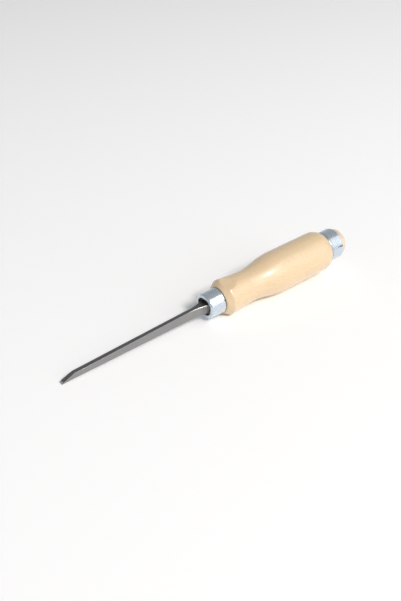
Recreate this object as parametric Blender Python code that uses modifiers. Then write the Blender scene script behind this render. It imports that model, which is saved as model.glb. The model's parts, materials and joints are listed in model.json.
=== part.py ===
"""Wood chisel of the narrow mortise pattern, lying on its back.

Four solids on one tool axis: a forged blade with its tang, a front ferrule,
a turned wooden handle and a striking hoop. Each is modelled along its own Z,
with the cutting edge at the low end, +X towards the flat back of the blade
and Y across the blade. The empty chisel_axis then lays the tool down, so that
the cutting edge and the belly of the handle both touch the plane z = 0.
"""
import math

import bmesh
import bpy

# Blade, in metres and radians.
EXPOSED_LENGTH = 0.1241
EDGE_WIDTH = 0.0040
SIDE_DRAFT = math.radians(2.5)
BACK_DROP = 0.0042
EDGE_DEPTH = 0.0038
TOP_TAPER = math.radians(1.78)
BEVEL_ANGLE = math.radians(20.0)
HONED_ANGLE = math.radians(30.0)
HONED_LENGTH = 0.0013
EDGE_LAND = 0.00005
BLADE_CORNER = 0.0002

# Bolster, which flares out of the neck on its sides and top while its back rises, and tang.
FLARE_LENGTH = 0.018
SIDE_FLARE = 0.0034
BACK_RISE = 0.0006
TOP_FLARE = 0.0002
TANG_LENGTH = 0.060
TANG_ROOT = 0.0052
TANG_TIP = 0.0034
TANG_POINT = 0.0030
TANG_POINT_WIDTH = 0.0017

# Front ferrule.
FERRULE_LENGTH = 0.0133
FERRULE_WALL = 0.0011
FERRULE_TAPER = 0.00045
LIP_INSIDE_ROUND = 0.0009
MOUTH_GAP = 0.0013
TENON_SETBACK = 0.0004
FERRULE_SEAM_RISE = math.radians(28.0)

# Handle, turned outline: radii, and the lengths between them from front to rear. A cone rises from
# the front shoulder to the crest of the bulb, and one smooth curve runs from there to the hoop.
SHOULDER_STEP = 0.0007
BULB_RADIUS = 0.0144
BULB_BACK_RADIUS = 0.0134
WAIST_RADIUS = 0.0128
BELLY_FRONT_RADIUS = 0.0167
BELLY_RADIUS = 0.01665
BELLY_REAR_RADIUS = 0.0165
HOOP_STEP = 0.0016
SHOULDER_TO_BULB = 0.0050
BULB_TO_BACK = 0.0104
BACK_TO_WAIST = 0.0120
WAIST_TO_BELLY = 0.0298
BELLY_FRONT_HALF = 0.0190
BELLY_REAR_HALF = 0.0253
REAR_ROUNDING = 0.0071
DOME_HEIGHT = 0.0079
DOME_FULLNESS = 3.0

# Thumb scoops, ground into the top and the bottom of the bulb by a drum that lies across the tool.
# Their middle is behind the crest, and the top one is turned a little towards the near side.
DRUM_RADIUS = 0.0400
SCOOP_DEPTH = 0.0018
SCOOP_SETBACK = 0.0025
TOP_SCOOP_TURN = math.radians(10.0)

# Striking hoop. Its front edge is rounded over all of the wall but a narrow land.
HOOP_LENGTH = 0.0127
HOOP_WALL = 0.0013
HOOP_FRONT_LAND = 0.0002
HOOP_SEAT_RADIUS = 0.0111
RING_EDGE_ROUND = 0.0004
HOOP_SEAM_RISE = math.radians(16.0)

# Clearances between neighbouring solids, and the width of the rings' butt seams.
FIT_GAP = 0.0003
SEAM_WIDTH = 0.0003
CUT_MARGIN = 0.002

# Facets.
MERGE_DISTANCE = 0.00001
TURN_STEPS = 48
ARC_STEPS = 4
FLARE_STEPS = 7
OUTLINE_STEPS = 4
DRUM_STEPS = 128
DOME_STEPS = 7

# Stations along the tool axis, from the cutting edge.
mouth = EXPOSED_LENGTH
lip_width = FERRULE_WALL + LIP_INSIDE_ROUND
tenon_face = mouth + lip_width + TENON_SETBACK
bolster_shoulder = tenon_face - FIT_GAP
neck = bolster_shoulder - FLARE_LENGTH
tang_end = bolster_shoulder + TANG_LENGTH
ferrule_rear = mouth + FERRULE_LENGTH
shoulder = ferrule_rear + FIT_GAP
bulb = shoulder + SHOULDER_TO_BULB
scoop = bulb + SCOOP_SETBACK
bulb_back = bulb + BULB_TO_BACK
waist = bulb_back + BACK_TO_WAIST
belly_front = waist + WAIST_TO_BELLY
belly = belly_front + BELLY_FRONT_HALF
belly_rear = belly + BELLY_REAR_HALF
hoop_stop = belly_rear + REAR_ROUNDING
hoop_front = hoop_stop + FIT_GAP
hoop_rear = hoop_front + HOOP_LENGTH
butt = hoop_rear + DOME_HEIGHT

# Bolster at its shoulder, and the radii that follow from the pieces which fit together.
bolster_half = EDGE_WIDTH / 2 + SIDE_FLARE
bolster_back = BACK_DROP - BACK_RISE
bolster_top = EDGE_DEPTH + bolster_shoulder * math.tan(TOP_TAPER) - BACK_DROP + TOP_FLARE
mouth_radius = math.hypot(bolster_half, max(bolster_back, bolster_top)) + MOUTH_GAP
ferrule_front_radius = mouth_radius + lip_width
ferrule_rear_radius = ferrule_front_radius + FERRULE_TAPER
hoop_bore = HOOP_SEAT_RADIUS + FIT_GAP
hoop_radius = hoop_bore + HOOP_WALL


def smooth_through(points, steps):
    """Points on a smooth curve through the given ones, with no overshoot between them."""
    spans = [b[0] - a[0] for a, b in zip(points, points[1:])]
    rises = [(b[1] - a[1]) / span for a, b, span in zip(points, points[1:], spans)]
    slopes = [rises[0]]
    for before, after in zip(rises, rises[1:]):
        slopes.append(2 * before * after / (before + after) if before * after > 0 else 0.0)
    slopes.append(rises[-1])
    curve = []
    for i, span in enumerate(spans):
        (z0, r0), (_, r1) = points[i], points[i + 1]
        for k in range(steps):
            t = k / steps
            rise = r0 * (1 + 2 * t) * (1 - t) ** 2 + r1 * t * t * (3 - 2 * t)
            lean = slopes[i] * t * (1 - t) ** 2 - slopes[i + 1] * t * t * (1 - t)
            curve.append((z0 + t * span, rise + span * lean))
    curve.append(points[-1])
    return curve


def arc(center, radius, start, end):
    """Points of a circular arc in the profile plane, angles in degrees from the outward direction."""
    points = []
    for k in range(ARC_STEPS + 1):
        angle = math.radians(start + (end - start) * k / ARC_STEPS)
        points.append((center[0] + radius * math.cos(angle), center[1] + radius * math.sin(angle)))
    return points


# Turned outline of the handle between its two shoulders, as (station, radius).
turned = [(shoulder, ferrule_rear_radius + SHOULDER_STEP)] + smooth_through([
    (bulb, BULB_RADIUS),
    (bulb_back, BULB_BACK_RADIUS),
    (waist, WAIST_RADIUS),
    (belly_front, BELLY_FRONT_RADIUS),
    (belly, BELLY_RADIUS),
    (belly_rear, BELLY_REAR_RADIUS),
    (hoop_stop, hoop_radius + HOOP_STEP),
], OUTLINE_STEPS)


def dome_outline():
    """Rounded end of the handle from its tip down to the hoop seat, as (radius, station)."""
    points = [(0.0, butt)]
    for k in range(1, DOME_STEPS + 1):
        angle = math.pi / 2 * k / DOME_STEPS
        radius = HOOP_SEAT_RADIUS * math.sin(angle) ** (2 / DOME_FULLNESS)
        height = DOME_HEIGHT * max(math.cos(angle), 0.0) ** (2 / DOME_FULLNESS)
        points.append((radius, hoop_rear + height))
    return points


def new_object(name, mesh, collection):
    """Object on the tool axis, in the given collection."""
    item = bpy.data.objects.new(name, mesh)
    collection.objects.link(item)
    item.parent = axis
    return item


def turned_object(name, profile, closed):
    """Solid of revolution about Z from (radius, station) points that run down the outer side.

    It is turned by half a facet, so that the tool lies on a facet and not on a corner.
    """
    mesh = bpy.data.meshes.new(name)
    edges = [(i, i + 1) for i in range(len(profile) - 1)]
    if closed:
        edges.append((len(profile) - 1, 0))
    mesh.from_pydata([(radius, 0.0, z) for radius, z in profile], edges, [])
    item = new_object(name, mesh, parts)
    screw = item.modifiers.new("turn", "SCREW")
    screw.axis = "Z"
    screw.steps = TURN_STEPS
    screw.render_steps = TURN_STEPS
    screw.use_merge_vertices = True
    screw.merge_threshold = MERGE_DISTANCE
    screw.use_smooth_shade = True
    item.rotation_euler.z = math.pi / TURN_STEPS
    return item


def loft(name, sections, collection):
    """Closed solid through rings of (x, y, z) points, each ring with the same number of points."""
    model = bmesh.new()
    rings = [[model.verts.new(point) for point in ring] for ring in sections]
    for lower, upper in zip(rings, rings[1:]):
        for i in range(len(lower)):
            j = (i + 1) % len(lower)
            model.faces.new((lower[i], lower[j], upper[j], upper[i]))
    model.faces.new(rings[0])
    model.faces.new(rings[-1])
    bmesh.ops.recalc_face_normals(model, faces=model.faces)
    return from_model(name, model, collection)


def from_model(name, model, collection):
    """Object that takes over a finished bmesh."""
    mesh = bpy.data.meshes.new(name)
    model.to_mesh(mesh)
    model.free()
    return new_object(name, mesh, collection)


def cut(item, cutter):
    """Take the cutter's volume out of the item."""
    cutter.hide_render = True
    cutter.display_type = "WIRE"
    boolean = item.modifiers.new(cutter.name, "BOOLEAN")
    boolean.operation = "DIFFERENCE"
    boolean.solver = "EXACT"
    boolean.object = cutter


def finish(item, name, color, roughness, metallic):
    """Give the item a plain finish, shared by name."""
    material = bpy.data.materials.get(name) or bpy.data.materials.new(name)
    material.use_nodes = True
    shader = material.node_tree.nodes["Principled BSDF"]
    shader.inputs["Base Color"].default_value = (*color, 1.0)
    shader.inputs["Roughness"].default_value = roughness
    shader.inputs["Metallic"].default_value = metallic
    item.data.materials.append(material)


def blade_depth(z):
    """Depth of the blade from its flat back to its top face or bevel."""
    honed = EDGE_LAND + min(z, HONED_LENGTH) * math.tan(HONED_ANGLE)
    bevel = honed + max(z - HONED_LENGTH, 0.0) * math.tan(BEVEL_ANGLE)
    body = EDGE_DEPTH + z * math.tan(TOP_TAPER)
    return min(bevel, body)


def bevel_end():
    """Station where the bevel meets the top face."""
    drop = EDGE_DEPTH - EDGE_LAND
    drop += HONED_LENGTH * (math.tan(BEVEL_ANGLE) - math.tan(HONED_ANGLE))
    return drop / (math.tan(BEVEL_ANGLE) - math.tan(TOP_TAPER))


def flare(z, rise):
    """Swelling of the neck at station z: a circular arc that reaches rise at the bolster's shoulder."""
    along = max(z - neck, 0.0)
    radius = (FLARE_LENGTH ** 2 + rise ** 2) / (2 * rise)
    return radius - math.sqrt(radius ** 2 - along ** 2)


def cornered(back, top, back_half, top_half, corner, z):
    """Ring of eight points: a section with its four corners chamfered."""
    return [
        (back, back_half - corner, z),
        (back - corner, back_half, z),
        (top + corner, top_half, z),
        (top, top_half - corner, z),
        (top, corner - top_half, z),
        (top + corner, -top_half, z),
        (back - corner, -back_half, z),
        (back, corner - back_half, z),
    ]


def blade_section(z):
    """Section of the blade and bolster at station z."""
    depth = blade_depth(z)
    back = BACK_DROP - flare(z, BACK_RISE)
    top = BACK_DROP - depth - flare(z, TOP_FLARE)
    back_half = EDGE_WIDTH / 2 + flare(z, SIDE_FLARE)
    top_half = back_half - depth * math.tan(SIDE_DRAFT)
    corner = min(BLADE_CORNER, depth / 4)
    return cornered(back, top, back_half, top_half, corner, z)


def tang_section(width, z):
    """Square section of the tang."""
    return cornered(width / 2, -width / 2, width / 2, width / 2, BLADE_CORNER, z)


def make_blade():
    """Edge, bevels, body, flared bolster and tang in one forging."""
    stations = [0.0, HONED_LENGTH, bevel_end()]
    stations += [neck + FLARE_LENGTH * k / FLARE_STEPS for k in range(FLARE_STEPS + 1)]
    sections = [blade_section(z) for z in stations]
    sections.append(tang_section(TANG_ROOT, bolster_shoulder))
    sections.append(tang_section(TANG_TIP, tang_end - TANG_POINT))
    sections.append(tang_section(TANG_POINT_WIDTH, tang_end))
    blade = loft("blade", sections, parts)
    finish(blade, "blade_steel", (0.30, 0.29, 0.28), 0.38, 1.0)


def seam_cutter(name, rise, inner, outer, low, high):
    """Thin radial slot through a ring's wall, on the near side and turned by rise above its middle."""
    inner, outer = inner - CUT_MARGIN, outer + CUT_MARGIN
    low, high = low - CUT_MARGIN, high + CUT_MARGIN
    model = bmesh.new()
    bmesh.ops.create_cube(model, size=1.0)
    bmesh.ops.scale(model, vec=(outer - inner, SEAM_WIDTH, high - low), verts=model.verts)
    bmesh.ops.translate(model, vec=((outer + inner) / 2, 0.0, (high + low) / 2), verts=model.verts)
    slot = from_model(name, model, cutters)
    slot.rotation_euler.z = -math.pi / 2 - rise
    return slot


def make_ferrule():
    """Slightly conical ring with its front edge rolled in, and a butt seam."""
    lip_center = (mouth_radius, mouth + lip_width)
    rear_round = (ferrule_rear_radius - RING_EDGE_ROUND, ferrule_rear - RING_EDGE_ROUND)
    profile = arc(rear_round, RING_EDGE_ROUND, 90, 0)
    profile += arc(lip_center, lip_width, 0, -90)
    profile += arc(lip_center, LIP_INSIDE_ROUND, -90, 0)
    profile.append((ferrule_rear_radius - FERRULE_WALL, ferrule_rear))
    ferrule = turned_object("front_ferrule", profile, True)
    seam = seam_cutter("ferrule_seam", FERRULE_SEAM_RISE, mouth_radius, ferrule_rear_radius,
                       mouth, ferrule_rear)
    cut(ferrule, seam)
    finish(ferrule, "zinc_plate", (0.62, 0.66, 0.70), 0.28, 1.0)


def make_hoop():
    """Plain ring with its outer edges rounded, the front one widely, and a butt seam."""
    front_round = HOOP_WALL - HOOP_FRONT_LAND
    rear_center = (hoop_radius - RING_EDGE_ROUND, hoop_rear - RING_EDGE_ROUND)
    profile = arc(rear_center, RING_EDGE_ROUND, 90, 0)
    profile += arc((hoop_radius - front_round, hoop_front + front_round), front_round, 0, -90)
    profile += [(hoop_bore, hoop_front), (hoop_bore, hoop_rear)]
    hoop = turned_object("striking_hoop", profile, True)
    cut(hoop, seam_cutter("hoop_seam", HOOP_SEAM_RISE, hoop_bore, hoop_radius, hoop_front, hoop_rear))
    finish(hoop, "zinc_plate", (0.62, 0.66, 0.70), 0.28, 1.0)


def front_tenon():
    """Front tenon, clear of the ferrule, from the handle's shoulder to its face, as (radius, station)."""
    inset = FERRULE_WALL + FIT_GAP
    rear = ferrule_rear_radius - inset
    front = ferrule_front_radius - inset
    return [(rear, shoulder), (front, mouth + lip_width), (front, tenon_face), (0.0, tenon_face)]


def scoop_floor(z):
    """Distance of the scoops from the tool axis at station z, where the drum reaches it."""
    along = z - scoop
    if abs(along) >= DRUM_RADIUS:
        return math.inf
    return BULB_RADIUS - SCOOP_DEPTH + DRUM_RADIUS - math.sqrt(DRUM_RADIUS ** 2 - along ** 2)


def scoop_cutter(name, angle):
    """Drum that grinds a thumb scoop into the bulb, at an angle about the axis from the blade's back."""
    model = bmesh.new()
    bmesh.ops.create_cone(model, cap_ends=True, segments=DRUM_STEPS, radius1=DRUM_RADIUS,
                          radius2=DRUM_RADIUS, depth=2 * (BULB_RADIUS + CUT_MARGIN))
    drum = from_model(name, model, cutters)
    drum.rotation_euler = (math.pi / 2, 0.0, angle)
    reach = BULB_RADIUS - SCOOP_DEPTH + DRUM_RADIUS
    drum.location = (reach * math.cos(angle), reach * math.sin(angle), scoop)
    return drum


def make_handle():
    """Turned handle with two thumb scoops and a tapered square hole for the tang."""
    profile = dome_outline()
    profile.append((HOOP_SEAT_RADIUS, hoop_stop))
    profile += [(radius, z) for z, radius in reversed(turned)]
    profile += front_tenon()
    handle = turned_object("handle", profile, False)
    cut(handle, scoop_cutter("top_scoop", math.pi + TOP_SCOOP_TURN))
    cut(handle, scoop_cutter("bottom_scoop", 0.0))

    spread = 2 * FIT_GAP
    cut(handle, loft("tang_hole", [
        tang_section(TANG_ROOT + spread, tenon_face - CUT_MARGIN),
        tang_section(TANG_ROOT + spread, bolster_shoulder),
        tang_section(TANG_TIP + spread, tang_end - TANG_POINT),
        tang_section(TANG_TIP + spread, tang_end + FIT_GAP),
    ], cutters))
    finish(handle, "lacquered_beech", (0.80, 0.58, 0.34), 0.42, 0.0)


def lay_down():
    """Tilt the tool until edge and belly both rest on z = 0, centred over the origin."""
    facet_reach = math.cos(math.pi / TURN_STEPS)
    rings = [(ferrule_rear, ferrule_rear_radius), (hoop_front, hoop_radius), (hoop_rear, hoop_radius)]
    lower_side = [(z, min(radius * facet_reach, scoop_floor(z))) for z, radius in turned + rings]
    lower_side.append((bolster_shoulder, bolster_back))
    tilt = max(math.atan2(reach - BACK_DROP, z) for z, reach in lower_side)
    tip_x = BACK_DROP * math.sin(tilt)
    butt_x = max(radius * math.sin(tilt) + z * math.cos(tilt) for radius, z in dome_outline())
    axis.rotation_euler.y = math.pi / 2 - tilt
    axis.location.x = -(tip_x + butt_x) / 2
    axis.location.z = BACK_DROP * math.cos(tilt)


for old in list(bpy.data.objects):
    bpy.data.objects.remove(old)
parts = bpy.data.collections.new("wood_chisel")
cutters = bpy.data.collections.new("wood_chisel_cutters")
for group in (parts, cutters):
    bpy.context.scene.collection.children.link(group)
axis = bpy.data.objects.new("chisel_axis", None)
parts.objects.link(axis)

make_blade()
make_ferrule()
make_handle()
make_hoop()
lay_down()
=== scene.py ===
# %% [markdown]
# A narrow wood chisel, dressed for its picture
#
# The chisel lies on its back on a pale table. It has four pieces: a forged blade, a front ferrule, a
# turned wooden handle and a striking hoop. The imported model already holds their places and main
# sizes, so this lesson measures them there, makes a finer skin for each piece and then gives each
# one its finish. Nothing is moved or resized on the way.

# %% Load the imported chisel
import json
import math

import bmesh
import bpy
from mathutils import Matrix, Vector

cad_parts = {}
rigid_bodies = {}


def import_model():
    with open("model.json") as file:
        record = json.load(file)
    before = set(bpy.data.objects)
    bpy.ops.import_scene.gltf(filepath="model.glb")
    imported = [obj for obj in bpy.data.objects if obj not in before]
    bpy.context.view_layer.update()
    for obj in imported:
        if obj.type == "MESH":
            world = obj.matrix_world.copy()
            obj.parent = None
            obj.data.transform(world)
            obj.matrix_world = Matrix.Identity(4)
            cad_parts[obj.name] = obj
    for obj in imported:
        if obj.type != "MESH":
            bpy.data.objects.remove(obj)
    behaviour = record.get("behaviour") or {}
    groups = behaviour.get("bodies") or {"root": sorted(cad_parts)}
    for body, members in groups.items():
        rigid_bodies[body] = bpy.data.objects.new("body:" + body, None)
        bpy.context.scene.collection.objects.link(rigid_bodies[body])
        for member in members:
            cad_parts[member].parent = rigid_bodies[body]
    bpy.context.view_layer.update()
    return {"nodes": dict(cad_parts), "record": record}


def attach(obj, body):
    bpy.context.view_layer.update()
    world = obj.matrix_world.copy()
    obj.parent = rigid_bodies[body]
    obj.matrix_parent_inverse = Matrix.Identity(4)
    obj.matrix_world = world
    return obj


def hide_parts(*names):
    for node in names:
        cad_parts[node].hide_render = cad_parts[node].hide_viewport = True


for old in list(bpy.data.objects):
    bpy.data.objects.remove(old)
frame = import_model()
print("packed pieces:", sorted(frame["nodes"]))

# %% [markdown]
# The tool's own frame
#
# Edge and belly both touch the table, so the whole tool lies a few degrees out of level. Points
# could be worked out along that slope, but turned and tapered work is far easier to think about
# upright. Each piece is therefore made along its own Z, with the cutting edge at zero, +X towards
# the flat back and Y across the blade, and one matrix lays it down. The record's normal of the
# blade's back gives the slope. The hoop is turned about the tool's axis, so its middle gives the
# height of that axis.

# %% Lay out the tool frame
mounts = {mount["name"]: mount for mount in frame["record"]["mounts"]}
back_normal = Vector(mounts["blade_back"]["axis"])
tilt = math.atan2(back_normal.x, -back_normal.z)
upright = Matrix.Rotation(math.pi / 2 - tilt, 4, "Y")


def points_of(node, matrix):
    """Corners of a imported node, seen from the frame that the matrix describes."""
    inverse = matrix.inverted()
    return [inverse @ vertex.co for vertex in frame["nodes"][node].data.vertices]


hoop_heights = [point.x for point in points_of("striking_hoop", upright)]
edge_station = min(point.z for point in points_of("blade", upright))
axis_start = ((min(hoop_heights) + max(hoop_heights)) / 2, 0.0, edge_station)
tool = upright @ Matrix.Translation(axis_start)
print(f"the tool lies {math.degrees(tilt):.2f} degrees out of level")

# %% [markdown]
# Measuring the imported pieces
#
# A maker would put callipers on the rings and the handle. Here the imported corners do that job: each
# piece's first and last station along the axis, and its smallest and largest radius. The same
# numbers could be typed in again, but then they would no longer follow the model if it changed.

# %% Stations and radii
def callipers(node):
    """First and last station of a node on the tool's axis, and its smallest and largest radius."""
    corners = points_of(node, tool)
    stations = [corner.z for corner in corners]
    radii = [math.hypot(corner.x, corner.y) for corner in corners]
    return min(stations), max(stations), min(radii), max(radii)


mouth, ferrule_rear, mouth_radius, ferrule_radius = callipers("front_ferrule")
hoop_front, hoop_rear, hoop_bore, hoop_radius = callipers("striking_hoop")
tenon_face, butt, _, belly_radius = callipers("handle")
tang_end = callipers("blade")[1]
for title, size in (("ferrule", ferrule_radius), ("hoop", hoop_radius), ("belly", belly_radius)):
    print(f"{title}: {2000 * size:.1f} mm across")

# %% [markdown]
# Smooth curves through measured points
#
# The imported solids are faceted, and at arm's length those facets would show in the highlights. A
# subdivision modifier would round them, but it would also shrink the radii. A cubic that passes
# through every measured point and never overshoots keeps the sizes and only fills in between. Where
# an edge is round, points stand closer together, as a second helper spaces them.

# %% Curve helpers
def smooth_through(points, steps):
    """Rows of numbers on smooth curves through the given rows, whose first number is the station."""
    def slopes_of(column):
        rises = [(b[column] - a[column]) / (b[0] - a[0]) for a, b in zip(points, points[1:])]
        inner = [2 * p * q / (p + q) if p * q > 0 else 0.0 for p, q in zip(rises, rises[1:])]
        return [rises[0], *inner, rises[-1]]

    slopes = [slopes_of(column) for column in range(1, len(points[0]))]
    rows = []
    for i, (a, b) in enumerate(zip(points, points[1:])):
        span = b[0] - a[0]
        for k in range(steps):
            t = k / steps
            row = [a[0] + t * span]
            for column, slope in enumerate(slopes, start=1):
                level = a[column] * (1 + 2 * t) * (1 - t) ** 2 + b[column] * t * t * (3 - 2 * t)
                lean = slope[i] * t * (1 - t) ** 2 - slope[i + 1] * t * t * (1 - t)
                row.append(level + span * lean)
            rows.append(row)
    rows.append(list(points[-1]))
    return rows


def ease_ends(length, first_edge, last_edge, edge_steps, steps):
    """Positions from 0 to length, closely spaced over the rounded edge at either end."""
    shares = [1 - math.cos(math.pi / 2 * k / edge_steps) for k in range(edge_steps)]
    start = [first_edge * share for share in shares]
    middle = [first_edge + (length - first_edge - last_edge) * k / steps for k in range(steps + 1)]
    return start + middle + [length - last_edge * share for share in reversed(shares)]


print("eased places:", [round(place, 2) for place in ease_ends(1.0, 0.2, 0.2, 2, 3)])

# %% [markdown]
# Skins from loops
#
# Blade, handle and rings are all one loop of points after another: sections of the blade, circles
# of the handle, sections of a rolled strip. One helper skins such loops and closes both ends. It
# also stores masks on the points, such as where an edge is worn, where dirt settles in seams and
# where shade is painted into the recesses, because the finishes read them later. A mask that is
# painted from the shape itself stays put in every view.

# %% Skin helpers
def loop_faces(rows, count):
    """Faces between neighbouring loops of points, and one face to close either end."""
    faces = []
    for row in range(rows - 1):
        here, there = row * count, (row + 1) * count
        for i in range(count):
            j = (i + 1) % count
            faces.append([here + i, here + j, there + j, there + i])
    last = (rows - 1) * count
    return faces + [list(range(count)), list(range(last, last + count))]


def skin(name, loops, masks, sharp_loops=()):
    """Closed mesh object through loops of points, with a value for each point in every mask."""
    count = len(loops[0])
    mesh = bpy.data.meshes.new(name)
    mesh.from_pydata([point for loop in loops for point in loop], [], loop_faces(len(loops), count))
    model = bmesh.new()
    model.from_mesh(mesh)
    bmesh.ops.recalc_face_normals(model, faces=model.faces)
    model.to_mesh(mesh)
    model.free()
    for mask, values in masks.items():
        attribute = mesh.attributes.new(mask, "FLOAT", "POINT")
        attribute.data.foreach_set("value", values)
    mesh.shade_smooth()
    for edge in mesh.edges:
        rows = {vertex // count for vertex in edge.vertices}
        if len(rows) == 1 and rows.pop() in sharp_loops:
            edge.use_edge_sharp = True
    piece = bpy.data.objects.new(name, mesh)
    bpy.context.scene.collection.objects.link(piece)
    piece.matrix_world = tool
    print(f"{name}: {len(mesh.vertices)} points, {len(mesh.polygons)} faces")
    return piece


def hand_over(piece, node):
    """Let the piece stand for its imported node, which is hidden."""
    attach(piece, "root")
    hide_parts(node)


# %% [markdown]
# The blade
#
# The blade is one forging: a deep, narrow bar that tapers towards the edge, ground to a bevel with a
# honed strip at its tip, and flared into a bolster that seats on the handle. A box with bevelled
# edges could stand for it, but the taper, the flare and the two bevels would each need a cut of
# their own. One section after another along the axis holds all of them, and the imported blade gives
# the section at each of its stations.

# %% Blade sections
SAME_STATION = 0.00002


def measured_sections(node):
    """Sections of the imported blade: station, back, top, half width at the back and at the top."""
    groups = []
    for point in sorted(points_of(node, tool), key=lambda corner: corner.z):
        if not groups or point.z - groups[-1][0].z > SAME_STATION:
            groups.append([])
        groups[-1].append(point)
    rows = []
    for group in groups:
        back = max(point.x for point in group)
        top = min(point.x for point in group)
        middle = (back + top) / 2
        back_half = max(point.y for point in group if point.x > middle)
        top_half = max(point.y for point in group if point.x < middle)
        rows.append((group[0].z, back, top, back_half, top_half))
    return rows


blade_rows = measured_sections("blade")
honed_end, bevel_end, neck = (row[0] for row in blade_rows[1:4])
bolster_seat = max(row[0] for row in blade_rows if row[0] < tenon_face)
print(f"{len(blade_rows)} sections, bevel up to {1000 * bevel_end:.1f} mm")
print(f"flare from {1000 * neck:.1f} to {1000 * bolster_seat:.1f} mm")

# %% [markdown]
# The blade's corners
#
# Grinding leaves the bar's corners almost sharp, while those of the flare keep the roundness of the
# forging, and the near one catches the light. A Bevel modifier would round all of them alike, so
# each section brings its own corners: an arc that meets both flats without a kink, also where the
# sides lean in towards the top, and one more point on either side of it to keep the flats flat.

# %% Rounded sections
CORNER_STEPS = 6
CORNER_HOLD = 0.00012


def rounded_section(row, back_round, top_round):
    """Points of one section in order, each with its share of the top face and of a rounded corner."""
    station, back, top, back_half, top_half = row
    draft = math.atan2(back_half - top_half, back - top)
    turns = [0.0, math.pi / 2 + draft, math.pi, 1.5 * math.pi - draft, 2 * math.pi]
    corners = [(back, back_half, back_round), (top, top_half, top_round),
               (top, -top_half, top_round), (back, -back_half, back_round)]
    points = []
    for i, (x, y, radius) in enumerate(corners):
        side = turns[1] if y > 0 else turns[3]
        center_x = x - math.copysign(radius, x - (back + top) / 2)
        center_y = y - (radius + math.cos(side) * (center_x - x)) / math.sin(side)
        for k in range(-1, CORNER_STEPS + 2):
            share = min(max(k / CORNER_STEPS, 0.0), 1.0)
            angle = turns[i] + (turns[i + 1] - turns[i]) * share
            beyond = CORNER_HOLD * (k - share * CORNER_STEPS)
            place = (center_x + radius * math.cos(angle) - beyond * math.sin(angle),
                     center_y + radius * math.sin(angle) + beyond * math.cos(angle), station)
            top_face = (0.0, share, 1.0 - share, 0.0)[i]
            points.append((place, top_face, 4 * share * (1 - share)))
    return points


print(f"{4 * (CORNER_STEPS + 3)} points in each section of the blade")

# %% Swelling corners
BLADE_ROUND = 0.00018
FLARE_ROUND = 0.00120
LARGEST_ROUND = 0.2


def flare_share(station):
    """How far a station is along the flare, from 0 at the neck to 1 at the bolster's seat."""
    return min(max((station - neck) / (bolster_seat - neck), 0.0), 1.0)


def blade_loop(row):
    """One section, with corners that open out along the flare and close up at the thin edge."""
    swell = (FLARE_ROUND - BLADE_ROUND) * math.sqrt(flare_share(row[0]))
    limit = LARGEST_ROUND * (row[1] - row[2])
    return rounded_section(row, min(BLADE_ROUND + swell / 2, limit), min(BLADE_ROUND + swell, limit))


print(f"corners: {1000 * BLADE_ROUND:.2f} mm on the bar, {1000 * FLARE_ROUND:.2f} mm at the seat")

# %% [markdown]
# Flare, seat and tang
#
# The flare ends in a flat seat, and behind it a square tang is driven into the wood. The tang could
# be left out, as nobody sees it, but its packed sections are there and close the skin properly. A
# mask paints shade onto the blade towards and inside the ferrule's mouth, so that it darkens there
# as a recess does.

# %% Blade skin
FLARE_STEPS = 4
TANG_ROOT = 0.0026
RECESS_DEPTH = 0.0035
RECESS_REACH = 0.0095

bar_rows = [row for row in blade_rows if row[0] < neck]
bar_rows += smooth_through([row for row in blade_rows if neck <= row[0] <= bolster_seat], FLARE_STEPS)
tang_rows = [(bolster_seat, TANG_ROOT, -TANG_ROOT, TANG_ROOT, TANG_ROOT)]
tang_rows += [row for row in blade_rows if row[0] > bolster_seat]


def recess_shade(row):
    """Painted shade on a section: none well in front of the ferrule's mouth, and full shade well inside.
    """
    ahead = mouth + RECESS_DEPTH - row[0]
    return min(max(0.0, 1 - ahead / RECESS_REACH), 1.0)


sections = [blade_loop(row) for row in bar_rows]
sections += [rounded_section(row, BLADE_ROUND, BLADE_ROUND) for row in tang_rows]
# Painted shade: the blade darkens towards and inside the ferrule's mouth.
shade_levels = [recess_shade(row) for row in bar_rows + tang_rows]
blade = skin(
    "chisel_blade",
    [[place for place, _, _ in section] for section in sections],
    {
        "top_face": [top_face for section in sections for _, top_face, _ in section],
        "worn_edge": [corner for section in sections for _, _, corner in section],
        "dirt_and_painted_shade": [level for level, section in zip(shade_levels, sections) for _ in section],
    },
    sharp_loops=(0, 1, 2, len(bar_rows) - 1, len(bar_rows)),
)
hand_over(blade, "blade")

# %% [markdown]
# The turned handle
#
# A handle like this is turned on a lathe: a cone up to the crest of its bulb, and one long curve from
# there to the hoop. A Screw modifier would turn that outline in one go, but the crest would be razor
# sharp. Here the cone and the curve run on past the crest, and the smaller of their two radii is
# taken, blended over a fraction of a millimetre. That gives the soft crest of sanded wood.

# %% Handle outline
NEAR_SIDE = 0.07
STATION_DIGITS = 5


def near_side_outline(node):
    """Station and largest radius of each ring of a turned node, read along its near side."""
    widest = {}
    for point in points_of(node, tool):
        if point.y < 0 and abs(point.x) < NEAR_SIDE * abs(point.y):
            station = round(point.z, STATION_DIGITS)
            widest[station] = max(widest.get(station, 0.0), math.hypot(point.x, point.y))
    return sorted(widest.items())


outline = near_side_outline("handle")
grip = [row for row in outline if ferrule_rear < row[0] < hoop_front]
seat_radius = max(radius for station, radius in outline if station > hoop_front)
(grip_front, front_radius), (bulb, bulb_radius), (grip_rear, rear_radius) = grip[0], grip[1], grip[-1]
print(f"grip from {1000 * grip_front:.1f} to {1000 * grip_rear:.1f} mm")
print(f"bulb {2000 * bulb_radius:.1f} mm across, hoop seat {2000 * seat_radius:.1f} mm across")

# %% Soft crest
OUTLINE_STEPS = 8
CONE_STEPS = 16
CREST_RIM = 0.0006


def soft_min(first, second, rim):
    """Smaller of two sizes, blended where they differ by less than the rim."""
    blend = max(rim - abs(first - second), 0.0) / rim
    return min(first, second) - blend * blend * rim / 4


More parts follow.
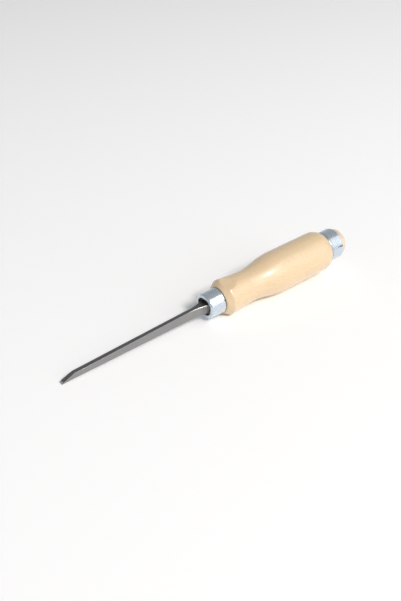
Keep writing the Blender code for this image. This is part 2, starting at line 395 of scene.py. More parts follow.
cone_slope = (bulb_radius - front_radius) / (bulb - grip_front)
fine_grip = smooth_through(grip[1:], OUTLINE_STEPS)
back_slope = (fine_grip[1][1] - bulb_radius) / (fine_grip[1][0] - bulb)
for k in range(1, CONE_STEPS + 1):
    ahead = (bulb - grip_front) * k / CONE_STEPS
    fine_grip.insert(0, (bulb - ahead, bulb_radius - back_slope * ahead))
fine_grip = [(station, soft_min(radius, bulb_radius + cone_slope * (station - bulb), CREST_RIM))
             for station, radius in fine_grip]
print(f"grip outline: {len(fine_grip)} points")

# %% [markdown]
# Thumb scoops
#
# After turning, the bulb is held against a sanding drum, which leaves a shallow scoop for the thumb
# on the top and one on the bottom. A Boolean with a cylinder would cut them, and leave sharp rims and
# long thin faces. The same soft choice between two radii, here the turned one and the drum's, cuts
# them without a Boolean and rounds the rims as lacquered wood shows them.

# %% Scoop cut
DRUM_RADIUS = 0.0400
SCOOP_DEPTH = 0.0018
SCOOP_SETBACK = 0.0025
SCOOP_RIM = 0.0002
TOP_SCOOP_TURN = math.radians(10.0)
LEAST_REACH = 0.001


def scoop_floor(station):
    """Distance of the drum's cut from the tool's axis."""
    along = min(abs(station - bulb - SCOOP_SETBACK), DRUM_RADIUS)
    return bulb_radius - SCOOP_DEPTH + DRUM_RADIUS - math.sqrt(DRUM_RADIUS ** 2 - along ** 2)


def scooped(station, radius, angle):
    """Radius of the grip at an angle from the blade's back, softly blended into the scoops."""
    turn = angle - TOP_SCOOP_TURN if math.cos(angle) < 0 else angle
    cut = scoop_floor(station) / max(abs(math.cos(turn)), LEAST_REACH)
    return soft_min(radius, cut, SCOOP_RIM)


print(f"scoops: {1000 * SCOOP_DEPTH:.1f} mm deep, from a drum {2000 * DRUM_RADIUS:.0f} mm across")

# %% [markdown]
# The ends of the handle
#
# In front, a tenon carries the ferrule and holds the tang's square hole. At the rear the wood steps
# down to the hoop's seat and ends in a dome. Half a ball would be too pointed for an end that takes a
# mallet, so the dome follows a fuller curve with a flatter face. Where the grip ends, its corners are
# rounded by an arc, as sanding leaves them.

# %% Shoulders and dome
ROUND_STEPS = 6
DOME_FULLNESS = 3.0
DOME_STEPS = 28
POLE_RADIUS = 0.00004


def shoulder_arc(station, radius, reach):
    """Rounded corner of the grip at its end. The reach is positive where the grip runs on from it."""
    arc = []
    for k in range(ROUND_STEPS + 1):
        angle = math.pi / 2 * k / ROUND_STEPS
        drop = abs(reach) * (1 - math.cos(angle))
        arc.append((station + reach * (1 - math.sin(angle)), radius - drop))
    return arc


def dome(steps):
    """Full, rounded end of the handle from the hoop seat to its tip."""
    power = 2 / DOME_FULLNESS
    rows = []
    for k in range(steps):
        angle = math.pi / 2 * (1 - k / steps)
        rise = max(math.cos(angle), 0.0) ** power
        rows.append((hoop_rear + (butt - hoop_rear) * rise, seat_radius * math.sin(angle) ** power))
    rows.append((butt, POLE_RADIUS))
    return rows


print(f"dome: {1000 * (butt - hoop_rear):.1f} mm high")

# %% Ring helpers
AROUND = 240
turns = [2 * math.pi * i / AROUND for i in range(AROUND)]


def circle(station, radius):
    """One ring of the handle."""
    return [(radius * math.cos(turn), radius * math.sin(turn), station) for turn in turns]


def square(station, half):
    """One ring of the tang hole, with as many points as a circle."""
    ring = []
    for x, y, z in circle(station, 1.0):
        scale = half / max(abs(x), abs(y))
        ring.append((x * scale, y * scale, z))
    return ring


def grip_ring(station, radius):
    """One ring of the grip, with the scoops taken out."""
    radii = [scooped(station, radius, turn) for turn in turns]
    return [(r * math.cos(turn), r * math.sin(turn), station) for r, turn in zip(radii, turns)]


print(f"{AROUND} points in each ring of the handle")

# %% Handle rings
FRONT_ROUND = 0.0003
REAR_ROUND = 0.0016
TENON_CLEARANCE = 0.0014
TANG_CLEARANCE = 0.0003

inner_grip = [row for row in fine_grip if grip_front + FRONT_ROUND < row[0] < grip_rear - REAR_ROUND]
tang_tip_half = tang_rows[-2][3] + TANG_CLEARANCE
tenon_radius = ferrule_radius - TENON_CLEARANCE
rings = [
    square(tang_end + TANG_CLEARANCE, POLE_RADIUS),
    square(tang_end + TANG_CLEARANCE, tang_tip_half),
    square(tang_rows[-2][0], tang_tip_half),
    square(tenon_face, TANG_ROOT + TANG_CLEARANCE),
    circle(tenon_face, tenon_radius - FRONT_ROUND),
    circle(tenon_face + FRONT_ROUND, tenon_radius),
    circle(grip_front, tenon_radius),
]
first_grip_ring = len(rings)
rings.append(circle(grip_front, ferrule_radius))
rings += [circle(*row) for row in reversed(shoulder_arc(grip_front, front_radius, FRONT_ROUND))]
rings += [grip_ring(*row) for row in inner_grip]
rings += [circle(*row) for row in shoulder_arc(grip_rear, rear_radius, -REAR_ROUND)]
rings.append(circle(grip_rear, seat_radius))
rings += [circle(*row) for row in dome(DOME_STEPS)]
print(f"{len(rings)} rings, the first {first_grip_ring} for the tang hole and the tenon")

# %% Handle skin
JOINT_REACH = 0.0007
JOINT_LINES = ((grip_front, 0.05), (grip_rear, 0.40), (hoop_rear, 0.40))


def handle_shade_and_lines(number, ring):
    """Painted shade in the ferrule's mouth, and a faint dark line where the wood meets the two rings."""
    if number < first_grip_ring:
        return 1.0
    station = ring[0][2]
    return max(share * max(0.0, 1 - abs(station - joint) / JOINT_REACH) for joint, share in JOINT_LINES)


# The tang hole and the tenon get full painted shade, so they stay dark inside the ferrule's mouth.
handle = skin(
    "chisel_handle",
    rings,
    {
        "dirt_and_painted_shade": [handle_shade_and_lines(number, ring) for number, ring in enumerate(rings) for _ in ring],
        "end_grain": [1.0 if ring[0][2] > hoop_rear else 0.0 for ring in rings for _ in ring],
    },
    sharp_loops=(1, 2, 3, 4, first_grip_ring - 1),
)
hand_over(handle, "handle")

# %% [markdown]
# Ferrule and hoop
#
# Both rings are steel strip, rolled up until the ends butt together. Turning a profile all the way
# round would lose the seam, and cutting a slot into it would leave sharp walls. So the strip itself
# is modelled: a section across its width, with a wall that thins out at every edge, bent round the
# axis from one end of the strip to the other. The ends part where their corners were tumbled round,
# and one of them stands a hair proud of the other.

# %% Strip ends
NOTCH_REACH = 0.0018
NOTCH_DIRTY = 0.0003
NOTCH_SHARE = 0.005
SHADE_FREE_LIP = 0.0014
FRONT_BAND_REACH = 0.0028


def rounding(distance, edge):
    """Height of a quarter circle at a distance from the edge that it rounds, as a share of its own."""
    share = min(max(distance / edge, 0.0), 1.0)
    return math.sqrt(1 - (1 - share) ** 2)


def notch_widths(places, width, front, rear, rear_reach):
    """Extra gap between the strip's tumbled ends at each place across its width."""
    widths = []
    for place in places:
        front_gap = front * max(0.0, 1 - place / NOTCH_REACH) ** 2
        widths.append(front_gap + rear * max(0.0, 1 - (width - place) / rear_reach) ** 2)
    return widths


def strip_dirt_and_shade(places, notches, bend, front_band):
    """Dirt in the notches, a darker band along the front edge of the outer face, and painted shade over
    the inner face, fading out towards the front edge.
    """
    in_seam = max(0.0, 1 - min(bend, 1 - bend) / NOTCH_SHARE)
    outer = []
    for place, notch in zip(places, notches):
        at_front = front_band * min(max(2 - 2 * place / FRONT_BAND_REACH, 0.0), 1.0)
        outer.append(max(in_seam * min(notch / NOTCH_DIRTY, 1.0), at_front))
    return outer + [min(place / SHADE_FREE_LIP, 1.0) for place in reversed(places)]


print(f"notches reach {1000 * NOTCH_REACH:.1f} mm in from the front edge")

# %% Bent section
LEAST_WALL = 0.12
SEAM_GAP = 0.00002
SEAM_ROUND = 0.00006
SEAM_STEP = 0.00003
SEAM_STEP_REACH = 0.0035


def strip_loop(section, places, notches, seam, bend):
    """One section of the strip where it is bent round the axis: its outer face and back on the inner."""
    outer, inner = [], []
    for place, notch in zip(places, notches):
        faces = [Vector(point) for point in section(place)]
        middle = (faces[0] + faces[1]) / 2
        gap = (SEAM_GAP + notch) / middle.x
        angle = seam + gap / 2 + bend * (2 * math.pi - gap)
        from_seam = min(bend, 1 - bend) * 2 * math.pi * middle.x
        wall = max(rounding(from_seam, SEAM_ROUND), LEAST_WALL)
        lift = SEAM_STEP * math.exp(-bend * 2 * math.pi * middle.x / SEAM_STEP_REACH)
        for face, row in zip(faces, (outer, inner)):
            radius, station = middle + (face - middle) * wall
            radius += lift
            row.append((radius * math.cos(angle), radius * math.sin(angle), station))
    return outer + inner[::-1]


print(f"seam: {1000 * SEAM_GAP:.2f} mm wide, with a step of {1000 * SEAM_STEP:.2f} mm")

# %% Rolled strip
STRIP_AROUND = 144
STRIP_ACROSS = 36
EDGE_STEPS = 6
SEAM_SHARE = 0.0012
WEAR_REACH = 2.0
SHARP_FOLD = math.radians(60.0)


def rolled_strip(name, section, width, edges, seam, notch, front_band):
    """Ring of strip. Its section gives an outer and an inner (radius, station) across the width."""
    places = ease_ends(width, *edges, EDGE_STEPS, STRIP_ACROSS)
    bends = ease_ends(1.0, SEAM_SHARE, SEAM_SHARE, EDGE_STEPS, STRIP_AROUND)
    notches = notch_widths(places, width, **notch)
    from_rims = [min(place / edges[0], (width - place) / edges[1], WEAR_REACH) for place in places]
    wear = [1 - distance / WEAR_REACH for distance in from_rims]
    loops, worn, darkening = [], [], []
    for bend in bends:
        loops.append(strip_loop(section, places, notches, seam, bend))
        worn += wear + wear[::-1]
        darkening += strip_dirt_and_shade(places, notches, bend, front_band)
    ring = skin(name, loops, {"worn_edge": worn, "dirt_and_painted_shade": darkening})
    ring.data.set_sharp_from_angle(angle=SHARP_FOLD)
    return ring


# %% [markdown]
# The front ferrule
#
# The ferrule keeps the wood from splitting round the tang. Its front edge is curled inwards round
# the mouth, and its tube opens a little towards the rear. A tube with a disc in front would do from
# afar, but the bend between the two catches the light all round the mouth. So the section is one
# path: flat along the lip, round the bend, and straight up the tube.

# %% Front ferrule
FERRULE_WALL = 0.0011
FERRULE_SEAM = -math.pi / 2 - math.radians(28.0)
FERRULE_EDGE = 0.00032
FERRULE_NOTCH = {"front": 0.0010, "rear": 0.0009, "rear_reach": 0.0018}
FERRULE_TAPER = 0.00045
LIP_BEND = 0.00085
LIP_CURL = 0.0007

cone = math.atan2(FERRULE_TAPER, ferrule_rear - mouth)
bend_radius = ferrule_radius - FERRULE_TAPER - FERRULE_WALL / 2 - LIP_BEND
bend_station = mouth + LIP_BEND + FERRULE_WALL / 2
lip_flat = bend_radius - mouth_radius + LIP_CURL
lip_arc = LIP_BEND * (math.pi / 2 - cone)
tube_length = (ferrule_rear - bend_station + LIP_BEND * math.sin(cone)) / math.cos(cone)
ferrule_width = lip_flat + lip_arc + tube_length


def ferrule_section(place):
    """Outer and inner face of the ferrule's wall, from the curled lip to the rear edge."""
    bent = place - lip_flat
    turn = min(max(bent, 0.0) / LIP_BEND - math.pi / 2, -cone)
    straight = max(bent - lip_arc, 0.0)
    radius = bend_radius + min(bent, 0.0) + LIP_BEND * math.cos(turn) + straight * math.sin(cone)
    station = bend_station + LIP_BEND * math.sin(turn) + straight * math.cos(cone)
    edge = min(place, ferrule_width - place)
    half = FERRULE_WALL / 2 * max(rounding(edge, FERRULE_EDGE), LEAST_WALL)
    reach = (half * math.cos(turn), half * math.sin(turn))
    return (radius + reach[0], station + reach[1]), (radius - reach[0], station - reach[1])


ferrule = rolled_strip("ferrule_ring", ferrule_section, ferrule_width, (FERRULE_EDGE, FERRULE_EDGE),
                       FERRULE_SEAM, FERRULE_NOTCH, front_band=0.0)
hand_over(ferrule, "front_ferrule")

# %% [markdown]
# The striking hoop
#
# The hoop keeps the end from splaying under the mallet. It is a plain band with a widely rounded
# front edge, a tighter rear edge, and a long notch where its ends part towards the rear. Bevelling a
# tube would round both edges alike. The same strip as before, with another section, gives each edge
# its own arc.

# %% Striking hoop
HOOP_SEAM = -math.pi / 2 - math.radians(16.0)
HOOP_LAND = 0.0002
HOOP_REAR_EDGE = 0.00042
HOOP_NOTCH = {"front": 0.0, "rear": 0.0010, "rear_reach": 0.0085}
# The hoop's outer face darkens in a band along its front edge, next to the wood.
HOOP_FRONT_BAND = 0.34
hoop_width = hoop_rear - hoop_front
hoop_front_edge = hoop_radius - hoop_bore - HOOP_LAND


def hoop_section(place):
    """Outer and inner face of the hoop's wall, from its widely rounded front edge to its rear edge."""
    front = hoop_front_edge * (1 - rounding(place, hoop_front_edge))
    rear = HOOP_REAR_EDGE * (1 - rounding(hoop_width - place, HOOP_REAR_EDGE))
    return (hoop_radius - front - rear, hoop_front + place), (hoop_bore, hoop_front + place)


hoop = rolled_strip("hoop_ring", hoop_section, hoop_width, (hoop_front_edge, HOOP_REAR_EDGE),
                    HOOP_SEAM, HOOP_NOTCH, front_band=HOOP_FRONT_BAND)
hand_over(hoop, "striking_hoop")

# %% [markdown]
# Node helpers
#
# A finish is a small machine of nodes. Wiring them one by one takes many lines, so a few helpers add
# a node, set its options, and fill each input with a value or with another node's output. A number
# that is the same all over a surface goes straight onto the shader's own input.

# %% Node helpers
def fill(tree, node, inputs):
    """Set inputs of a node, or wire them where the value is another node's output."""
    for socket, value in inputs.items():
        if isinstance(value, bpy.types.NodeSocket):
            tree.links.new(value, node.inputs[socket])
        else:
            node.inputs[socket].default_value = value


def add(tree, kind, inputs=None, **options):
    """New node with its options set and its inputs filled or wired."""
    node = tree.nodes.new(kind)
    for option, value in options.items():
        setattr(node, option, value)
    fill(tree, node, inputs or {})
    return node


def computed(tree, operation, first, second, third=0.0):
    """Sum, product or other arithmetic of two or three values."""
    return add(tree, "ShaderNodeMath", {0: first, 1: second, 2: third}, operation=operation).outputs[0]


def ranged(tree, value, low, high, to_low=0.0, to_high=1.0):
    """Value carried from one range to another, and held inside it."""
    node = add(tree, "ShaderNodeMapRange", {
        "Value": value, "From Min": low, "From Max": high, "To Min": to_low, "To Max": to_high,
    })
    return node.outputs["Result"]


# A Mix node has several sockets of the same name, so those for colours go by their numbers.
MIX_SHARE, MIX_UNDER, MIX_OVER, MIX_COLOR = 0, 6, 7, 2


def laid_over(tree, under, over, mask, share=1.0):
    """Colour with another one laid over it, by a share of the mask."""
    if share < 1.0:
        mask = computed(tree, "MULTIPLY", mask, share)
    inputs = {MIX_SHARE: mask, MIX_UNDER: under, MIX_OVER: over}
    return add(tree, "ShaderNodeMix", inputs, data_type="RGBA").outputs[MIX_COLOR]


# %% Groups and finishes
def new_group(name, inputs, output):
    """Empty shader node group with its sockets, what goes into it and its output node."""
    group = bpy.data.node_groups.new(name, "ShaderNodeTree")
    for socket, kind, value in inputs:
        made = group.interface.new_socket(socket, in_out="INPUT", socket_type=kind)
        made.default_value = value
    group.interface.new_socket(output, in_out="OUTPUT", socket_type="NodeSocketFloat")
    return group, group.nodes.new("NodeGroupInput").outputs, group.nodes.new("NodeGroupOutput")


def placed(tree, group, inputs):
    """Output of a shared group that is placed in a finish with its own values."""
    return add(tree, "ShaderNodeGroup", inputs, node_tree=group).outputs[0]


def new_finish(name):
    """Material with its node tree and its Principled shader."""
    material = bpy.data.materials.new(name)
    material.use_nodes = True
    return material, material.node_tree, material.node_tree.nodes["Principled BSDF"]


def own_place(tree):
    """Place on the piece in the tool's own frame, in metres."""
    return add(tree, "ShaderNodeTexCoord").outputs["Object"]


# %% [markdown]
# Effects that several finishes share
#
# Wood, zinc and steel look nothing alike, and yet the same four things happen to each of them: the
# tone drifts softly from place to place, fine lines run one way, edges wear, and dark marks gather:
# dirt in seams and painted shade in recesses. Each of these is a node group, made once and set
# differently in each finish. Copies of the nodes would do the same, but a change would then have to
# be made three times. Noise that is stretched a little gives clouds, and noise that is stretched a
# lot along one axis gives lines.

# %% Tone drift
VECTOR, FLOAT = "NodeSocketVector", "NodeSocketFloat"
NO_PLACE = (0, 0, 0)
NO_STRETCH = (1, 1, 1)
CLOUD_RANGE = (0.32, 0.68)


def stretched_place(group, given):
    """Given place, stretched along each axis."""
    inputs = {0: given["Vector"], 1: given["Stretch"]}
    return add(group, "ShaderNodeVectorMath", inputs, operation="MULTIPLY").outputs[0]


tone_drift, given, result = new_group("tone_drift", [
    ("Vector", VECTOR, NO_PLACE), ("Stretch", VECTOR, NO_STRETCH), ("Detail", FLOAT, 3.0),
], "Mask")
cloud = add(tone_drift, "ShaderNodeTexNoise", {
    "Vector": stretched_place(tone_drift, given),
    "Scale": 1.0, "Detail": given["Detail"], "Roughness": 0.55,
}).outputs["Fac"]
fill(tone_drift, result, {"Mask": ranged(tone_drift, cloud, *CLOUD_RANGE)})
print("shared group:", tone_drift.name)

# %% Drawn lines
LINE_RANGE = (0.34, 0.66)
COARSE_SHARE = 0.6
FINE_SCALE = 2.7

drawn_lines, given, result = new_group("drawn_lines", [
    ("Vector", VECTOR, NO_PLACE), ("Stretch", VECTOR, NO_STRETCH), ("Waver", FLOAT, 0.0),
], "Lines")
line_place = stretched_place(drawn_lines, given)
coarse = add(drawn_lines, "ShaderNodeTexNoise", {
    "Vector": line_place, "Scale": 1.0, "Detail": 2.0, "Distortion": given["Waver"],
}).outputs["Fac"]
fine = add(drawn_lines, "ShaderNodeTexNoise", {
    "Vector": line_place, "Scale": FINE_SCALE, "Detail": 4.0, "Distortion": given["Waver"],
}).outputs["Fac"]
coarse_part = computed(drawn_lines, "MULTIPLY", coarse, COARSE_SHARE)
lines = computed(drawn_lines, "MULTIPLY_ADD", fine, 1 - COARSE_SHARE, coarse_part)
fill(drawn_lines, result, {"Lines": ranged(drawn_lines, lines, *LINE_RANGE)})
print("shared group:", drawn_lines.name)

# %% Worn edges, dirt and painted shade
PATCH_RANGE = (0.3, 0.6)
LEAST_PATCH = 0.45


def mask_group(name, mask):
    """Group that breaks up one of the masks stored on the pieces, so that it looks uneven."""
    group, given, result = new_group(name, [
        ("Vector", VECTOR, NO_PLACE), ("Scale", FLOAT, 900.0), ("Strength", FLOAT, 1.0),
    ], "Mask")
    stored = add(group, "ShaderNodeAttribute", attribute_name=mask).outputs["Fac"]
    patches = add(group, "ShaderNodeTexNoise", {
        "Vector": given["Vector"], "Scale": given["Scale"], "Detail": 3.0,
    }).outputs["Fac"]
    uneven = computed(group, "MULTIPLY", stored, ranged(group, patches, *PATCH_RANGE, LEAST_PATCH))
    fill(group, result, {"Mask": computed(group, "MULTIPLY", uneven, given["Strength"])})
    return group


edge_wear = mask_group("edge_wear", "worn_edge")
dirt_and_painted_shade = mask_group("dirt_and_painted_shade", "dirt_and_painted_shade")
print("shared groups:", edge_wear.name, dirt_and_painted_shade.name)

# %% [markdown]
# Lacquered beech
#
# Beech is pale, close and even: wide growth layers that hardly differ in tone, fine fibres along the
# length, and short brown flecks where the rays are cut. A flat picture of wood wrapped round the
# handle would smear on the dome and in the scoops. The figure is worked out in space instead, as if
# the handle had been turned out of a solid billet, so it runs on over every surface. The lacquer is
# the shader's clear coat.

# %% Beech figure
FLECK_RIM = 0.30
FLECK_CORE = 0.16

beech, tree, shader = new_finish("beech_under_lacquer")
place = own_place(tree)
billet = add(tree, "ShaderNodeMapping", {
    "Vector": place,
    "Location": (0.031, 0.046, 0.0),
    "Rotation": (0.03, -0.02, 0.0),
    "Scale": (1, 1, 0.12),
}).outputs[0]
layers = add(tree, "ShaderNodeTexWave", {
    "Vector": billet, "Scale": 88.0, "Distortion": 2.2, "Detail": 2.0, "Detail Scale": 0.7,
}, wave_type="RINGS", rings_direction="Z", wave_profile="SAW").outputs["Fac"]
fibres = placed(tree, drawn_lines, {"Vector": place, "Stretch": (1500, 1500, 55), "Waver": 0.15})
drift = placed(tree, tone_drift, {"Vector": place, "Stretch": (75, 75, 22), "Detail": 3.0})
ray_place = add(tree, "ShaderNodeMapping", {"Vector": place, "Scale": (900, 1300, 210)}).outputs[0]
rays = add(tree, "ShaderNodeTexVoronoi", {"Vector": ray_place, "Scale": 1.0, "Randomness": 1.0},
           feature="F1").outputs["Distance"]
flecks = ranged(tree, rays, FLECK_RIM, FLECK_CORE)
darkening = placed(tree, dirt_and_painted_shade, {"Vector": place, "Scale": 1400.0, "Strength": 2.2})
end_grain = add(tree, "ShaderNodeAttribute", attribute_name="end_grain").outputs["Fac"]
print("beech figure:", len(tree.nodes), "nodes")

# %% Beech finish
BEECH_PALE = (0.775, 0.595, 0.365, 1.0)
BEECH_LATE = (0.715, 0.520, 0.300, 1.0)
BEECH_WARM = (0.766, 0.557, 0.358, 1.0)
BEECH_END_AND_GLARE = (0.74, 0.60, 0.47, 1.0)
BEECH_FLECK = (0.56, 0.350, 0.180, 1.0)
BEECH_SHADE_AND_LINES = (0.105, 0.090, 0.075, 1.0)

color = laid_over(tree, BEECH_PALE, BEECH_LATE, layers, share=0.45)
color = laid_over(tree, color, BEECH_WARM, drift, share=0.65)
# The dome's end grain is painted paler and greyer than the grip: its own colour with a painted
# highlight, as the light washes it out.
color = laid_over(tree, color, BEECH_END_AND_GLARE, end_grain, share=0.8)
color = laid_over(tree, color, BEECH_LATE, fibres, share=0.16)
color = laid_over(tree, color, BEECH_FLECK, flecks, share=0.36)
# Painted shade: the tenon and tang hole go nearly black in the ferrule's mouth, and a faint dark line
# runs along each joint with the rings.
color = laid_over(tree, color, BEECH_SHADE_AND_LINES, darkening)
grain_height = computed(tree, "SUBTRACT", fibres, flecks)
grain = add(tree, "ShaderNodeBump", {"Height": grain_height, "Strength": 0.10, "Distance": 0.00006})
fill(tree, shader, {
    "Base Color": color,
    "Roughness": ranged(tree, fibres, 0.0, 1.0, to_low=0.40, to_high=0.50),
    "Normal": grain.outputs[0],
    "Coat Weight": 1.0,
    "Coat IOR": 1.6,
    "Coat Roughness": 0.23,
})
handle.data.materials.append(beech)
print("finish:", beech.name, len(tree.nodes), "nodes")

# %% [markdown]
# Zinc plate
#
# The rings are plated after rolling. The zinc is bright and slightly blue, cloudy where the bath was
# uneven, with faint lines round the ring from the rolls and a duller, thinner skin along the edges.
# A mirror with some roughness would be quicker, but its reflections would be too clean. Clouds and
# lines move the roughness and tilt the surface a little, so the reflections break up.

# %% Zinc figure
zinc, tree, shader = new_finish("zinc_on_steel")
place = own_place(tree)
clouds = placed(tree, tone_drift, {"Vector": place, "Stretch": (420, 420, 420), "Detail": 4.0})
roll_lines = placed(tree, drawn_lines, {"Vector": place, "Stretch": (60, 60, 4200), "Waver": 0.1})
dents = add(tree, "ShaderNodeTexNoise", {"Vector": place, "Scale": 260.0, "Detail": 2.0}).outputs["Fac"]
wear = placed(tree, edge_wear, {"Vector": place, "Scale": 1500.0})
darkening = placed(tree, dirt_and_painted_shade, {"Vector": place, "Scale": 1500.0})
print("zinc figure:", len(tree.nodes), "nodes")

# %% Zinc finish
ZINC_BRIGHT = (0.66, 0.73, 0.80, 1.0)
ZINC_CLOUD = (0.56, 0.625, 0.70, 1.0)
ZINC_EDGE = (0.60, 0.62, 0.64, 1.0)
ZINC_DIRT_AND_SHADE = (0.11, 0.112, 0.115, 1.0)
WORN_DULLNESS = 0.12

color = laid_over(tree, ZINC_BRIGHT, ZINC_CLOUD, clouds, share=0.7)
color = laid_over(tree, color, ZINC_EDGE, wear, share=0.5)
# Painted shade inside the rings and real dirt in the seam's notches; the hoop also darkens in a band
# along its front edge.
color = laid_over(tree, color, ZINC_DIRT_AND_SHADE, darkening)
cloud_dullness = ranged(tree, clouds, 0.0, 1.0, to_low=0.18, to_high=0.28)
dented = add(tree, "ShaderNodeBump", {"Height": dents, "Strength": 0.30, "Distance": 0.0003})
lined = add(tree, "ShaderNodeBump", {
    "Height": roll_lines, "Strength": 0.06, "Distance": 0.00004, "Normal": dented.outputs[0],
})
fill(tree, shader, {
    "Base Color": color,
    "Metallic": 0.76,
    "Roughness": computed(tree, "MULTIPLY_ADD", wear, WORN_DULLNESS, cloud_dullness),
    "Normal": lined.outputs[0],
})
for ring in (ferrule, hoop):
    ring.data.materials.append(zinc)
print("finish:", zinc.name, len(tree.nodes), "nodes")

# %% [markdown]
# Blade steel
#
# The blade is ground all over: a satin along the sides, a darker top face that keeps some of the
# oxide of hardening, a bevel with lines across it and a honed strip that shines. Four materials could
# be painted on its faces, but their borders would be knife sharp. One material is enough, because the
# top face is a mask on the blade itself and the honed strip and the bevel are stations on its axis.

# %% Steel figure
steel, tree, shader = new_finish("ground_steel")
place = own_place(tree)
station = add(tree, "ShaderNodeSeparateXYZ", {0: place}).outputs["Z"]
top_face = add(tree, "ShaderNodeAttribute", attribute_name="top_face").outputs["Fac"]
stains = placed(tree, tone_drift, {"Vector": place, "Stretch": (160, 160, 90), "Detail": 5.0})
side_lines = placed(tree, drawn_lines, {"Vector": place, "Stretch": (5200, 5200, 70), "Waver": 0.05})
cross_lines = placed(tree, drawn_lines, {"Vector": place, "Stretch": (90, 90, 5200), "Waver": 0.05})
wear = placed(tree, edge_wear, {"Vector": place, "Scale": 700.0})
darkening = placed(tree, dirt_and_painted_shade, {"Vector": place, "Scale": 900.0})
on_bevel = computed(tree, "LESS_THAN", station, bevel_end)
honed = computed(tree, "MULTIPLY", computed(tree, "LESS_THAN", station, honed_end), top_face)
choice = {0: on_bevel, 2: side_lines, 3: cross_lines}
grind_lines = add(tree, "ShaderNodeMix", choice, data_type="FLOAT").outputs[0]
print("steel figure:", len(tree.nodes), "nodes")

# %% Steel finish
STEEL_SIDE = (0.335, 0.328, 0.324, 1.0)
STEEL_TOP = (0.30, 0.295, 0.285, 1.0)
STEEL_OXIDE = (0.14, 0.135, 0.13, 1.0)
STEEL_HONED = (0.86, 0.86, 0.88, 1.0)
STEEL_WORN = (0.55, 0.55, 0.54, 1.0)
STEEL_RECESS_SHADE = (0.09, 0.086, 0.082, 1.0)
HONED_DULLNESS = -0.10

top_color = laid_over(tree, STEEL_TOP, STEEL_OXIDE, stains, share=0.35)
side_color = laid_over(tree, STEEL_SIDE, STEEL_TOP, stains, share=0.16)
color = laid_over(tree, side_color, top_color, top_face)
color = laid_over(tree, color, STEEL_HONED, honed)
color = laid_over(tree, color, STEEL_WORN, wear, share=0.35)
# Painted shade: the blade turns nearly black towards and inside the ferrule's mouth.
color = laid_over(tree, color, STEEL_RECESS_SHADE, darkening)
satin = ranged(tree, grind_lines, 0.0, 1.0, to_low=0.27, to_high=0.37)
scratched = add(tree, "ShaderNodeBump", {"Height": grind_lines, "Strength": 0.10, "Distance": 0.00004})
fill(tree, shader, {
    "Base Color": color,
    "Metallic": 1.0,
    "Roughness": computed(tree, "MULTIPLY_ADD", honed, HONED_DULLNESS, satin),
    "Normal": scratched.outputs[0],
})
blade.data.materials.append(steel)
print("finish:", steel.name, len(tree.nodes), "nodes")

# %% [markdown]
# The table
#
# A sheet of white board fills the whole view, so the chisel's own shadow is all that shows on it. A
# curved backdrop would do as well, but from behind it would stand between the camera and the tool. A
# round board looks the same from every side. What is seen of it, directly or in the metal, is pure
# white with a faint glow, while the light that it throws back onto the tool is that of painted board.

# %% White table
TABLE_RADIUS = 2.4
TABLE_SIDES = 96
TABLE_DROP = 0.0002

board = bmesh.new()
bmesh.ops.create_circle(board, cap_ends=True, segments=TABLE_SIDES, radius=TABLE_RADIUS)
table_mesh = bpy.data.meshes.new("white_table")
board.to_mesh(table_mesh)
board.free()
table = bpy.data.objects.new("white_table", table_mesh)
table.location.z = -TABLE_DROP
bpy.context.scene.collection.objects.link(table)
print(f"table: {2 * TABLE_RADIUS:.1f} m across")

# %% Table finish
TABLE_WHITE = (0.92, 0.92, 0.92, 1.0)
TABLE_SEEN = (1.0, 1.0, 1.0, 1.0)
TABLE_GLOW = 0.035

white_board, tree, shader = new_finish("white_board")
light_path = add(tree, "ShaderNodeLightPath").outputs
mirrored = computed(tree, "MAXIMUM", light_path["Is Glossy Ray"], light_path["Is Transmission Ray"])
seen = computed(tree, "MAXIMUM", light_path["Is Camera Ray"], mirrored)
fill(tree, shader, {
    "Base Color": laid_over(tree, TABLE_WHITE, TABLE_SEEN, seen),
    "Roughness": 0.85,
    "Specular IOR Level": 0.1,
    "Emission Color": TABLE_SEEN,
    "Emission Strength": computed(tree, "MULTIPLY", seen, TABLE_GLOW),
})
table.data.materials.append(white_board)
print("finish:", white_board.name, len(tree.nodes), "nodes")

# %% [markdown]
# Studio light
#
# The metal tells how the studio was lit. The near and right sides of both rings mirror something wide
# and white, their tops and far sides something dark, and a short bright streak on the lacquer mirrors
# one smaller lamp. So there is a wide soft panel at the near right, a weaker one beside it further
# right, and a small strong key lamp straight at the near side. One large lamp would be simpler, but
# its mirror image on the rings would have no steps.

# %% Lamps
def heading(azimuth, elevation):
    """Direction as seen from the tool, in degrees. Azimuth runs from +X towards +Y."""
    flat, steep = math.radians(azimuth), math.radians(elevation)
    return Vector((math.cos(flat) * math.cos(steep), math.sin(flat) * math.cos(steep), math.sin(steep)))


def lamp(name, azimuth, elevation, distance, width, height, roll, radiance, tint):
    """Soft rectangular lamp aimed at the tool and rolled about its aim, in degrees."""
    away = heading(azimuth, elevation)
    light = bpy.data.lights.new(name, "AREA")
    light.shape = "RECTANGLE"
    light.size = width
    light.size_y = height
    light.color = tint
    light.energy = math.pi * width * height * radiance
    item = bpy.data.objects.new(name, light)
    item.location = away * distance
    aim = away.to_track_quat("Z", "Y").to_matrix() @ Matrix.Rotation(math.radians(roll), 3, "Z")
    item.rotation_euler = aim.to_euler()
    item.visible_camera = False
    bpy.context.scene.collection.objects.link(item)
    print(f"{name}: {light.energy:.1f} W")


lamp("soft_panel", azimuth=-63.3, elevation=36.0, distance=3.0, width=1.08, height=3.27, roll=-18.0,
     radiance=1.75, tint=(1.0, 0.985, 0.97))
lamp("weak_panel", azimuth=-40.8, elevation=32.0, distance=3.0, width=0.93, height=3.06, roll=-18.0,
     radiance=0.85, tint=(0.97, 0.985, 1.0))
lamp("key_lamp", azimuth=-88.0, elevation=46.0, distance=4.0, width=0.78, height=1.00, roll=0.0,
     radiance=42.0, tint=(1.0, 0.972, 0.935))

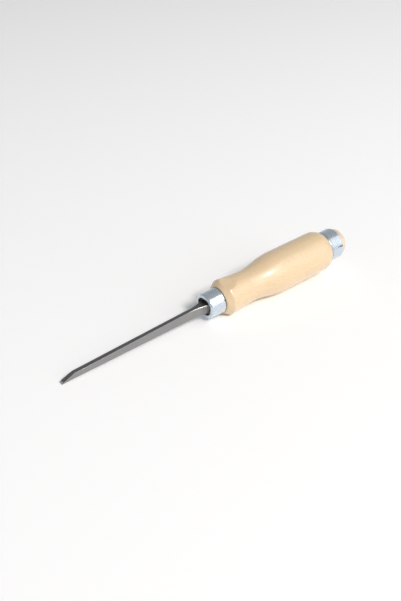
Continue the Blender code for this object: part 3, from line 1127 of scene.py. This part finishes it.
# %% [markdown]
# The sky
#
# Everything that is not a lamp is a dim room, lightest near the horizon. An even grey would light the
# tool as well, but metal that mirrors the same grey all round looks like plastic. A shade that falls
# off with height gives the rings and the blade something to mirror from every side.

# %% Sky
SKY_PALE = (0.54, 0.57, 0.61, 1.0)
SKY_DARK = (0.275, 0.281, 0.29, 1.0)
PALE_BELOW, DARK_ABOVE = math.radians(6.0), math.radians(40.0)

world = bpy.context.scene.world or bpy.data.worlds.new("studio")
bpy.context.scene.world = world
world.use_nodes = True
sky = world.node_tree
direction = add(sky, "ShaderNodeTexCoord").outputs["Generated"]
height = add(sky, "ShaderNodeSeparateXYZ", {0: direction}).outputs["Z"]
darkness = ranged(sky, height, math.sin(PALE_BELOW), math.sin(DARK_ABOVE))
fill(sky, sky.nodes["Background"], {"Color": laid_over(sky, SKY_PALE, SKY_DARK, darkness)})
print("sky:", len(sky.nodes), "nodes")

# %% [markdown]
# The camera
#
# The camera stands at the near left of the cutting edge and looks down along the tool. Its angles,
# distance and focal length were fitted to the picture's outlines, which leaves nothing to aim by eye.
# The target is a point just above the tool's axis, so it is written in the tool's frame.

# %% Camera
PICTURE_WIDTH, PICTURE_HEIGHT = 401, 601
FOCAL_PIXELS = 837.6
SENSOR = 36.0
CAMERA_AZIMUTH = math.radians(38.528)
CAMERA_ELEVATION = math.radians(32.766)
CAMERA_ROLL = math.radians(0.354)
CAMERA_DISTANCE = 0.618
NEAREST_SEEN = 0.01
TARGET_STATION = 0.12121
TARGET_RISE = 0.00711

target = tool @ Vector((-TARGET_RISE, 0.0, TARGET_STATION))
forward = Vector((
    math.sin(CAMERA_AZIMUTH) * math.cos(CAMERA_ELEVATION),
    math.cos(CAMERA_AZIMUTH) * math.cos(CAMERA_ELEVATION),
    -math.sin(CAMERA_ELEVATION),
))
camera = bpy.data.objects.new("camera", bpy.data.cameras.new("camera"))
camera.data.sensor_width = SENSOR
camera.data.lens = FOCAL_PIXELS * SENSOR / max(PICTURE_WIDTH, PICTURE_HEIGHT)
camera.data.clip_start = NEAREST_SEEN
camera.location = target - forward * CAMERA_DISTANCE
aim = forward.to_track_quat("-Z", "Y").to_matrix() @ Matrix.Rotation(CAMERA_ROLL, 3, "Z")
camera.rotation_euler = aim.to_euler()
bpy.context.scene.collection.objects.link(camera)
bpy.context.scene.camera = camera
bpy.context.scene.view_settings.view_transform = "Standard"
print(f"lens {camera.data.lens:.1f} mm, {CAMERA_DISTANCE:.3f} m from the tool")
